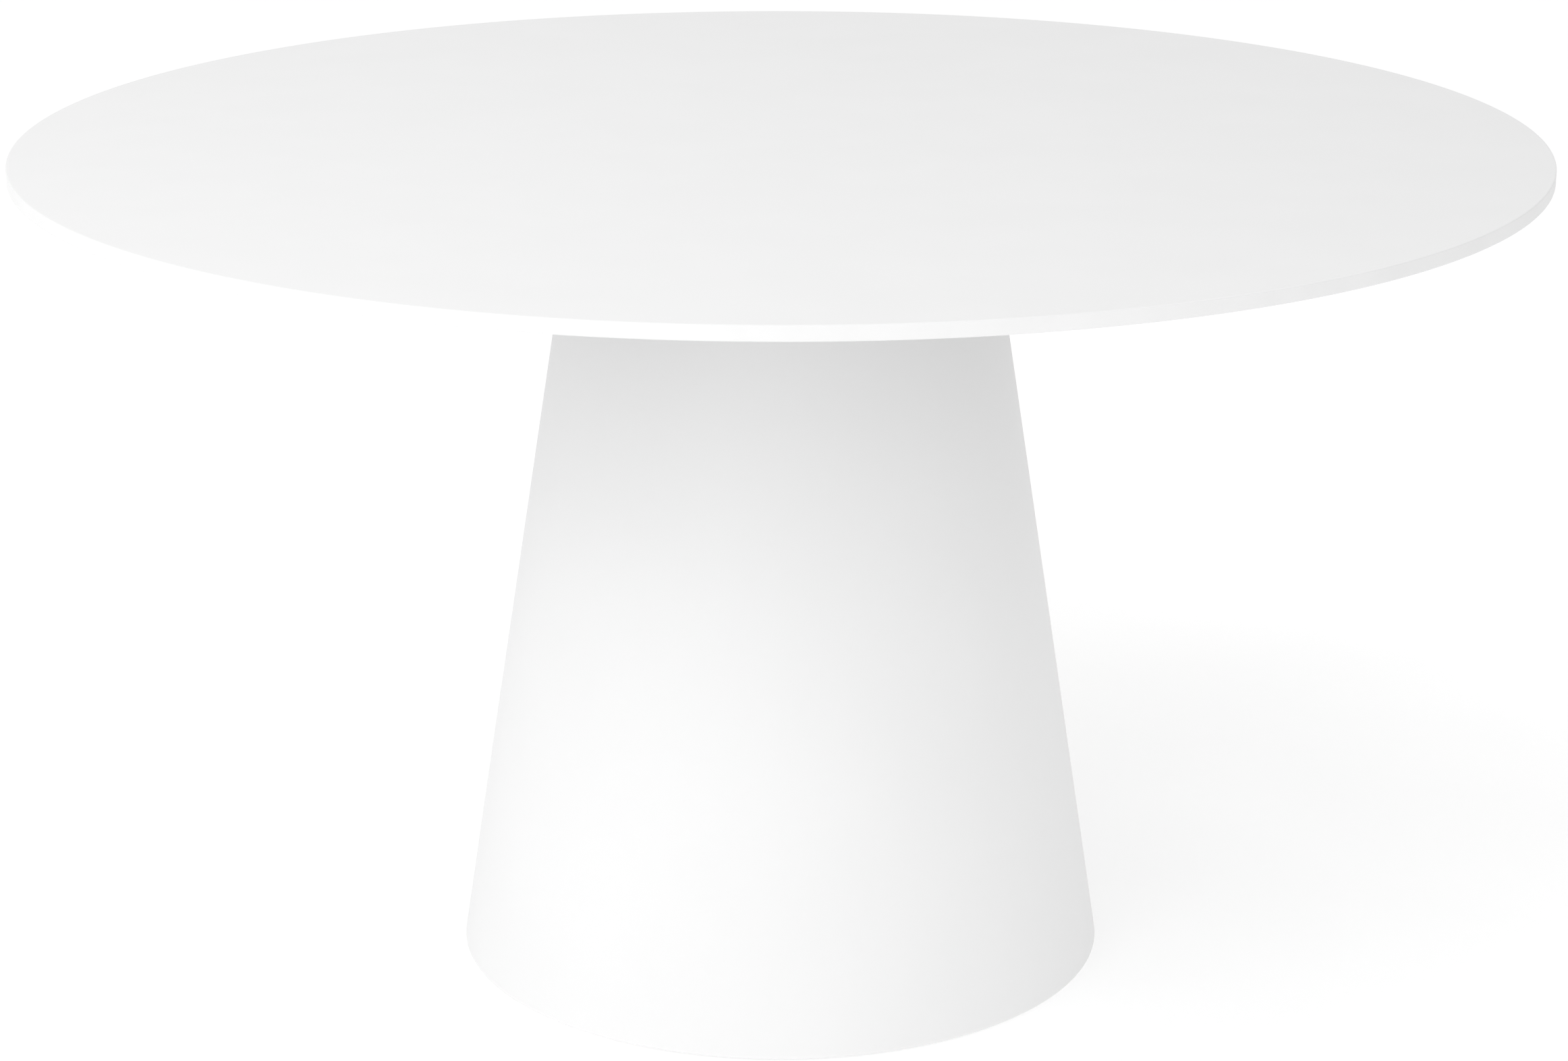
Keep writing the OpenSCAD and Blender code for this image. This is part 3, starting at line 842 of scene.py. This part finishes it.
# %% Cut the plates
BOLT_HOLE, TAPPED_HOLE, STEM_HOLE = 4.5 * MM, 4.05 * MM, 5.5 * MM
for name, node, columns, bevel, holes in (
        ("hub_disc", "hub_plate", 192, 0.6 * MM, [(BOLT_HOLE, HUB_BOLTS)]),
        ("flange", "column_flange", 144, 0.6 * MM, [(TAPPED_HOLE, HUB_BOLTS)]),
        ("base_disc", "base_plate", 288, 0.8 * MM,
         [(STEM_HOLE, FEET), (SCREW_HOLE, SHELL_SCREWS)])):
    loops = [loop for r, places in holes for loop in hole_loops(r, places, BOLT_COLUMNS)]
    sheet = plate(circle(radius(node), columns), loops, *heights(node), bevel)
    dress(sheet.object(name), "coated_steel", instead_of=[node])

# %% [markdown]
# ## Rings
#
# The column, the gasket and the washers are rings: a section with four eased corners, turned. Only
# the sizes and the easing differ. A washer is stamped, so its corners are barely broken.

# %% Turn the rings
COLUMN_WALL, GASKET_BORE, RING_EASE, WASHER_EASE = 3.0 * MM, 92.05 * MM, 0.4 * MM, 0.25 * MM


def ring(inner, outer, low, high, ease, columns):
    """A ring: its square section, eased at each corner, carried round the axis."""
    middle = (inner + outer) / 2
    section = eased([(middle, low), (outer, low), (outer, high), (inner, high), (inner, low),
                     (middle, low)], [ease] * 4, 3)
    return Surface().grid(turned(section, angles(columns)))


column_out = radius("column")
column = ring(column_out - COLUMN_WALL, column_out, *heights("column"), RING_EASE, 144)
dress(column.object("column_tube"), "coated_steel", instead_of=["column"])
gasket = ring(GASKET_BORE, radius("hub_gasket"), *heights("hub_gasket"), RING_EASE, 192)
dress(gasket.object("deck_gasket"), "rubber", instead_of=["hub_gasket"])
for name, node, r_in, r_out, places in (
        ("top_washer_set", "tabletop_washers", 3.25, 6.0, TOP_SCREWS),
        ("shell_washer_set", "shell_washers", 3.25, 6.0, SHELL_SCREWS),
        ("hub_washer_set", "hub_washers", 4.25, 8.0, HUB_BOLTS)):
    washers = ring(r_in * MM, r_out * MM, *heights(node), WASHER_EASE, BOLT_COLUMNS).at(places)
    dress(washers.object(name), "zinc_steel", instead_of=[node])

# %% [markdown]
# ## Gussets
#
# Four triangles brace the column on its base. They are cut lying down, then stood up: x stays, y
# becomes the height and the thickness runs along y.

# %% Stand up the gussets
LEG, TIP, CORNER, THICK, BEVEL = 60.0 * MM, 5.0 * MM, 6.0 * MM, 5.0 * MM, 0.5 * MM
triangle = [(CORNER, 0), (LEG, 0), (LEG, TIP), (TIP, LEG), (0, LEG), (0, CORNER), (CORNER, 0)]
gusset = plate(np.array(triangle), [], -THICK / 2, THICK / 2, BEVEL)
gusset.points = [p[:, [0, 2, 1]] * (1, -1, 1) + (0, 0, plate_high) for p in gusset.points]
GUSSETS = [(turn, column_out) for turn in ARM_TURNS]
for number, place in enumerate(GUSSETS, 1):
    dress(gusset.at([place]).object(f"gusset_{number}"), "coated_steel",
          instead_of=[f"column_gusset_{number}"])

# %% [markdown]
# ## Welds
#
# A weld bead is a row of overlapping ripples, one for each drop of metal. Its section is a quarter
# round between the two parts that it joins, and its size swells and shrinks once every 2.2 mm. The
# powder coat covers it.

# %% Lay the beads
RIPPLE = 2.2 * MM
THIN_BEAD, THICK_BEAD = 3 * MM, 4 * MM
ARM_WELD_TO = 158 * MM


def bead(path, up, out, leg):
    """Grid of a bead: path point + size * (cos f * up + sin f * out), for f over a quarter turn.

    The size is leg * (0.86 + 0.14 * |sin(pi * ripples * length / whole length)|), less at both
    ends of an open path. up and out are the directions along the two parts.
    """
    length = np.concatenate([[0.0], np.cumsum(np.linalg.norm(np.diff(path, axis=0), axis=1))])
    ripples = round(length[-1] / RIPPLE)
    size = leg * (0.86 + 0.14 * np.abs(np.sin(math.pi * ripples * length / length[-1])))
    if np.linalg.norm(path[0] - path[-1]) > SEAM:
        size = size * np.clip(np.minimum(length, length[-1] - length) / leg, 0.0, 1.0) ** 0.5
    f = np.linspace(0.0, math.pi / 2, 5)[:, None, None]
    skin = path + size[:, None] * (np.cos(f) * up + np.sin(f) * out)
    return np.concatenate([path[None], skin, path[None]])


def ring_bead(r, z, leg, upward=1.0):
    """A bead round the axis at radius r: up is +Z or -Z, and out points away from the axis."""
    ripples = round(2 * math.pi * r / RIPPLE)
    a = angles(6 * ripples)
    out = np.stack([np.cos(a), np.sin(a), 0 * a], axis=-1)
    return bead(r * out + (0, 0, z), np.array((0, 0, upward)), out, leg)


def straight_bead(start, end, up, out, leg):
    """A bead from start to end."""
    start, end = np.array(start), np.array(end)
    steps = 4 * round(np.linalg.norm(end - start) / RIPPLE)
    t = np.linspace(0.0, 1.0, steps + 1)[:, None]
    return bead(start + t * (end - start), np.array(up, float), np.array(out, float), leg)


column_welds = Surface().grid(ring_bead(column_out, plate_high, THICK_BEAD))
column_welds.grid(ring_bead(column_out, heights("column_flange")[0], THICK_BEAD, -1.0))
dress(column_welds.object("column_welds"), "coated_steel")

gusset_welds, arm_welds = Surface(), Surface()
hub_high = heights("hub_plate")[1]
for side in (-1, 1):
    y = side * THICK / 2
    gusset_welds.grid(straight_bead((CORNER, y, plate_high), (LEG, y, plate_high),
                                    (0, 0, 1), (0, side, 0), THIN_BEAD))
    gusset_welds.grid(straight_bead((0, y, plate_high + CORNER), (0, y, plate_high + LEG),
                                    (1, 0, 0), (0, side, 0), THIN_BEAD))
    y = side * (ARM_WIDE / 2 - 1 * MM)
    arm_welds.grid(straight_bead((ARM_FROM + 3 * MM, y, hub_high), (ARM_WELD_TO, y, hub_high),
                                 (0, 0, 1), (0, side, 0), THICK_BEAD))
dress(gusset_welds.at(GUSSETS).object("gusset_welds"), "coated_steel")
dress(arm_welds.at(ARMS).object("arm_welds"), "coated_steel")

# %% [markdown]
# ## Threads and hexagons
#
# A rolled thread is a groove that climbs at a steady rate. If each row of the grid is itself a
# helix, four rows for each turn are enough: two along the root and two along the crest. Rows that
# would run past an end are held at it. A hexagon is a circle whose radius changes with the angle,
# and its corners are turned off at 30 degrees.

# %% Helpers for screws
PHASES = np.array([0.0, 0.25, 0.5625, 0.6875])
bolt_angles = angles(BOLT_COLUMNS)


def thread(low, high, root, crest, pitch):
    """Grid of a thread: z = low + pitch * (phase + angle / full turn - 1), from low to high.

    The radius is root, root, crest, crest in turn, and never more than root + distance to the end.
    """
    turn = np.linspace(0.0, 1.0, BOLT_COLUMNS + 1)
    k = np.arange(4 * (math.ceil((high - low) / pitch) + 1) + 1)
    z = np.clip(low + pitch * ((k // 4 + PHASES[k % 4])[:, None] + turn - 1.0), low, high)
    r = np.where(k % 4 < 2, root, crest)[:, None]
    r = np.minimum(r, root + np.minimum(z - low, high - z))
    return np.stack([r * np.cos(bolt_angles), r * np.sin(bolt_angles), z], axis=-1)


def hexagon(across):
    """Radius of a hexagon at each angle: half its width / cos(angle from the flat's middle)."""
    return across / 2 / np.cos(np.mod(bolt_angles, math.pi / 3) - math.pi / 6)


def hex_rows(across, low, high):
    """Rows of a hexagon with its corners turned off.

    The radius is at most 0.97 of half the width + the root of 3 * depth below the end.
    """
    start = 0.97 * across / 2
    deepest = (across / 2 / math.cos(math.pi / 6) - start) / math.sqrt(3)
    depths = np.linspace(0.0, deepest, 5)
    radii = [np.minimum(hexagon(across), start + math.sqrt(3) * depth) for depth in depths]
    bottom = [(r, low + depth) for r, depth in zip(radii, depths)]
    top = [(r, high - depth) for r, depth in zip(radii, depths)]
    return bottom + top[::-1]

# %% [markdown]
# ### Button-head screws
#
# The head is forged to a low dome with a socket for a 4 mm key, and the shank is rolled to M6. The
# rows run from the middle of the socket, over the dome and under the head to the shank. They are
# pairs in millimetres: a radius, and a height over the seat.

# %% Make the button-head screws
KEY = hexagon(4.0)
M6_ROOT, M6_CREST, M6_PITCH = 2.39 * MM, 2.95 * MM, 1.0 * MM
SHANK_END = 1.9
socket = [(0.0, -0.8), (0.9 * KEY, -1.3), (KEY, -1.3), (KEY, -3.1), (KEY + 0.15, -3.3)]
dome_start, dome_corner, dome_end = np.array([(2.9, -3.3), (4.9, -3.1), (5.25, -0.7)])
dome = curve(dome_start, dome_corner, dome_end, np.linspace(0.0, 1.0, 9)[:, None])
under_head = [(5.25, -0.2), (5.05, 0.0), (3.1, 0.0), (2.95, 0.15), (2.95, 1.4), (2.39, SHANK_END)]


def button_screw(seat, long):
    """A screw with its head below the seat and its thread above it."""
    rows = [(r * MM, seat + z * MM) for r, z in [*socket, *dome, *under_head]]
    screw = Surface().grid(turned(rows, bolt_angles))
    screw.grid(thread(seat + SHANK_END * MM, seat + long, M6_ROOT, M6_CREST, M6_PITCH))
    return screw.grid(turned([(M6_ROOT, seat + long), (0.0, seat + long)], bolt_angles))


for name, node, washer_node, long, places in (
        ("top_screw_set", "tabletop_screws", "tabletop_washers", 30.0 * MM, TOP_SCREWS),
        ("shell_screw_set", "shell_screws", "shell_washers", 16.0 * MM, SHELL_SCREWS)):
    screws = button_screw(heights(washer_node)[0], long).at(places)
    dress(screws.object(name, CRISP), "zinc_steel", instead_of=[node])

# %% [markdown]
# ### Hub bolts and foot nuts
#
# Bolts and nuts are cold-formed hexagons. A bolt has a thin washer face under its head. A nut is
# countersunk at both ends, and its rows close on themselves through the bore.

# %% Make the bolts and nuts
M8_ROOT, M8_CREST, M8_PITCH = 3.23 * MM, 3.95 * MM, 1.25 * MM
BOLT_KEY, FACE_R = 13.0 * MM, 5.9 * MM
seat = heights("hub_washers")[1]
tip, head_top = heights("hub_bolts")
thread_end, face_top = seat - 2.0 * MM, seat + 0.3 * MM
bolt = Surface().grid(turned([(0.0, tip), (M8_ROOT, tip)], bolt_angles))
bolt.grid(thread(tip, thread_end, M8_ROOT, M8_CREST, M8_PITCH))
bolt.grid(turned([(M8_ROOT, thread_end), (M8_CREST, seat - 1.4 * MM), (M8_CREST, seat),
                  (FACE_R, seat), (FACE_R, face_top), *hex_rows(BOLT_KEY, face_top, head_top),
                  (0.0, head_top)], bolt_angles))
bolts = bolt.at(HUB_BOLTS)
dress(bolts.object("hub_bolt_set", CRISP), "zinc_steel", instead_of=["hub_bolts"])

NUT_KEY, BORE, SINK = 17.0 * MM, 5.08 * MM, 0.5 * MM
nut_low, nut_high = heights("foot_nuts")
nut = Surface().grid(turned([(BORE + SINK, nut_low), *hex_rows(NUT_KEY, nut_low, nut_high),
                             (BORE + SINK, nut_high), (BORE, nut_high - SINK),
                             (BORE, nut_low + SINK), (BORE + SINK, nut_low)], bolt_angles))
nuts = nut.at(FEET)
dress(nuts.object("foot_nut_set", CRISP), "zinc_steel", instead_of=["foot_nuts"])

# %% [markdown]
# ### Brass inserts
#
# An insert is turned from bar and knurled so that the board or the plastic grips it. The knurl is a
# ripple of 0.15 mm on the radius, 24 round the sleeve, with a plain groove at half height.

# %% Make the inserts
KNURLS, KNURL_DEEP, PLAIN_IN = 24, 0.15 * MM, 0.5 * MM
GROOVE, SLOPE_END, BORE_EDGE = 0.6 * MM, 1.0 * MM, 0.4 * MM
INSERT_BORE = 3.05 * MM
fine_angles = angles(96)


def insert(r, low, high):
    """A knurled sleeve with a bore: radius = r - 0.15 mm * (1 - cos 24 a) over the knurls."""
    middle, mouth = (low + high) / 2, INSERT_BORE + BORE_EDGE
    knurl = r - KNURL_DEEP * (1 - np.cos(KNURLS * fine_angles))
    plain = r - PLAIN_IN
    rows = [(mouth, low), (plain, low), (knurl, low + GROOVE), (knurl, middle - SLOPE_END),
            (plain, middle - GROOVE), (plain, middle + GROOVE), (knurl, middle + SLOPE_END),
            (knurl, high - GROOVE), (plain, high), (mouth, high), (INSERT_BORE, high - BORE_EDGE),
            (INSERT_BORE, low + BORE_EDGE), (mouth, low)]
    return Surface().grid(turned(rows, fine_angles))


for name, node, r, places in (("top_insert_set", "tabletop_inserts", 5.0 * MM, TOP_SCREWS),
                              ("shell_insert_set", "shell_inserts", 4.5 * MM, SHELL_SCREWS)):
    sleeves = insert(r, *heights(node)).at(places)
    dress(sleeves.object(name, CRISP), "brass", instead_of=[node])

# %% [markdown]
# ## The levelling feet
#
# Each stem is one turned piece: a ball that sits in the pad, a neck, a hexagon for the spanner and
# a rolled M10 thread that runs in the nut. The stem rides on its own body, which turns and travels,
# so its thread seems to feed through the nut as a real one does.

# %% Make the stems
BALL, BALL_AT, NECK = 4.6 * MM, 6.0 * MM, 3.0 * MM
HEX_LOW, HEX_HIGH, STEM_KEY, FLARE = 11.4 * MM, 17.6 * MM, 14.0 * MM, 0.6 * MM
M10_ROOT, M10_CREST, M10_PITCH = 4.08 * MM, 5.0 * MM, 1.5 * MM
stem_top = heights("foot_stem_1")[1]
phi = np.linspace(0.0, math.pi - math.asin(NECK / BALL), 17)
ball = [(BALL * math.sin(p), BALL_AT - BALL * math.cos(p)) for p in phi]
stem = Surface().grid(turned([*ball, (NECK, HEX_LOW - FLARE), (NECK + FLARE, HEX_LOW),
                              *hex_rows(STEM_KEY, HEX_LOW, HEX_HIGH), (M10_ROOT, HEX_HIGH)],
                             bolt_angles))
stem.grid(thread(HEX_HIGH, stem_top, M10_ROOT, M10_CREST, M10_PITCH))
stem.grid(turned([(M10_ROOT, stem_top), (0.0, stem_top)], bolt_angles))
for number, place in enumerate(FEET, 1):
    dress(stem.at([place]).object(f"stem_{number}", CRISP), "zinc_steel",
          f"foot_{number}_stem", [f"foot_stem_{number}"])

# %% [markdown]
# The pad is moulded polyamide. Sixteen low ribs run down its sloping top and stiffen it, its
# underside is hollowed so that it stands on a ring, and its socket closes over the stem's ball. Its
# sizes and rows are in millimetres.

# %% Make the pads of the feet
PAD_R, PAD_RIM, PAD_TOP, PAD_TOP_R = 17.5, 3.5, 10.0, 9.0
SOCKET, SOCKET_AT, THROAT = 4.68, 6.0, 3.4
RIBS, RIB_HIGH = 16, 0.35
SLOPE_FOOT, SLOPE_TOP = np.array((17.2, 3.8)), np.array((9.6, 9.3))
rib = RIB_HIGH * np.clip(np.cos(RIBS * fine_angles) + 0.4, 0.0, 1.0)
slope = []
for t in np.linspace(0.0, 1.0, 9):
    r, z = SLOPE_FOOT + t * (SLOPE_TOP - SLOPE_FOOT)
    slope.append((r, z + rib * math.sin(math.pi * t) ** 0.5))
under = [(0.0, 0.7), (12.6, 0.7), (13.2, 0.0), (16.6, 0.0), (17.3, 0.3), (PAD_R, 0.9),
         (PAD_R, PAD_RIM - 0.4)]
shoulder = [(9.3, 9.8), (PAD_TOP_R, PAD_TOP), (THROAT + 0.5, PAD_TOP), (THROAT, PAD_TOP - 0.4)]
theta = np.linspace(math.asin(THROAT / SOCKET), math.pi, 13)
cup = [(SOCKET * math.sin(a), SOCKET_AT + SOCKET * math.cos(a)) for a in theta]
rows = [(r * MM, z * MM) for r, z in under + slope + shoulder + cup]
foot_pad = Surface().grid(turned(rows, fine_angles))
for number, place in enumerate(FEET, 1):
    dress(foot_pad.at([place]).object(f"pad_{number}"), "black_plastic",
          f"foot_{number}_pad", [f"foot_pad_{number}"])

# %% [markdown]
# ## Handing over
#
# Every CAD node now has a finer piece in its place. The nodes themselves stay for the physics, and
# still get the finish of what they are made of.

# %% Dress the CAD nodes
for part in frame["record"]["subparts"]:
    node = nodes[part["node"]]
    node.data.materials.clear()
    node.data.materials.append(BY_SLOT[part["material_slot"]])
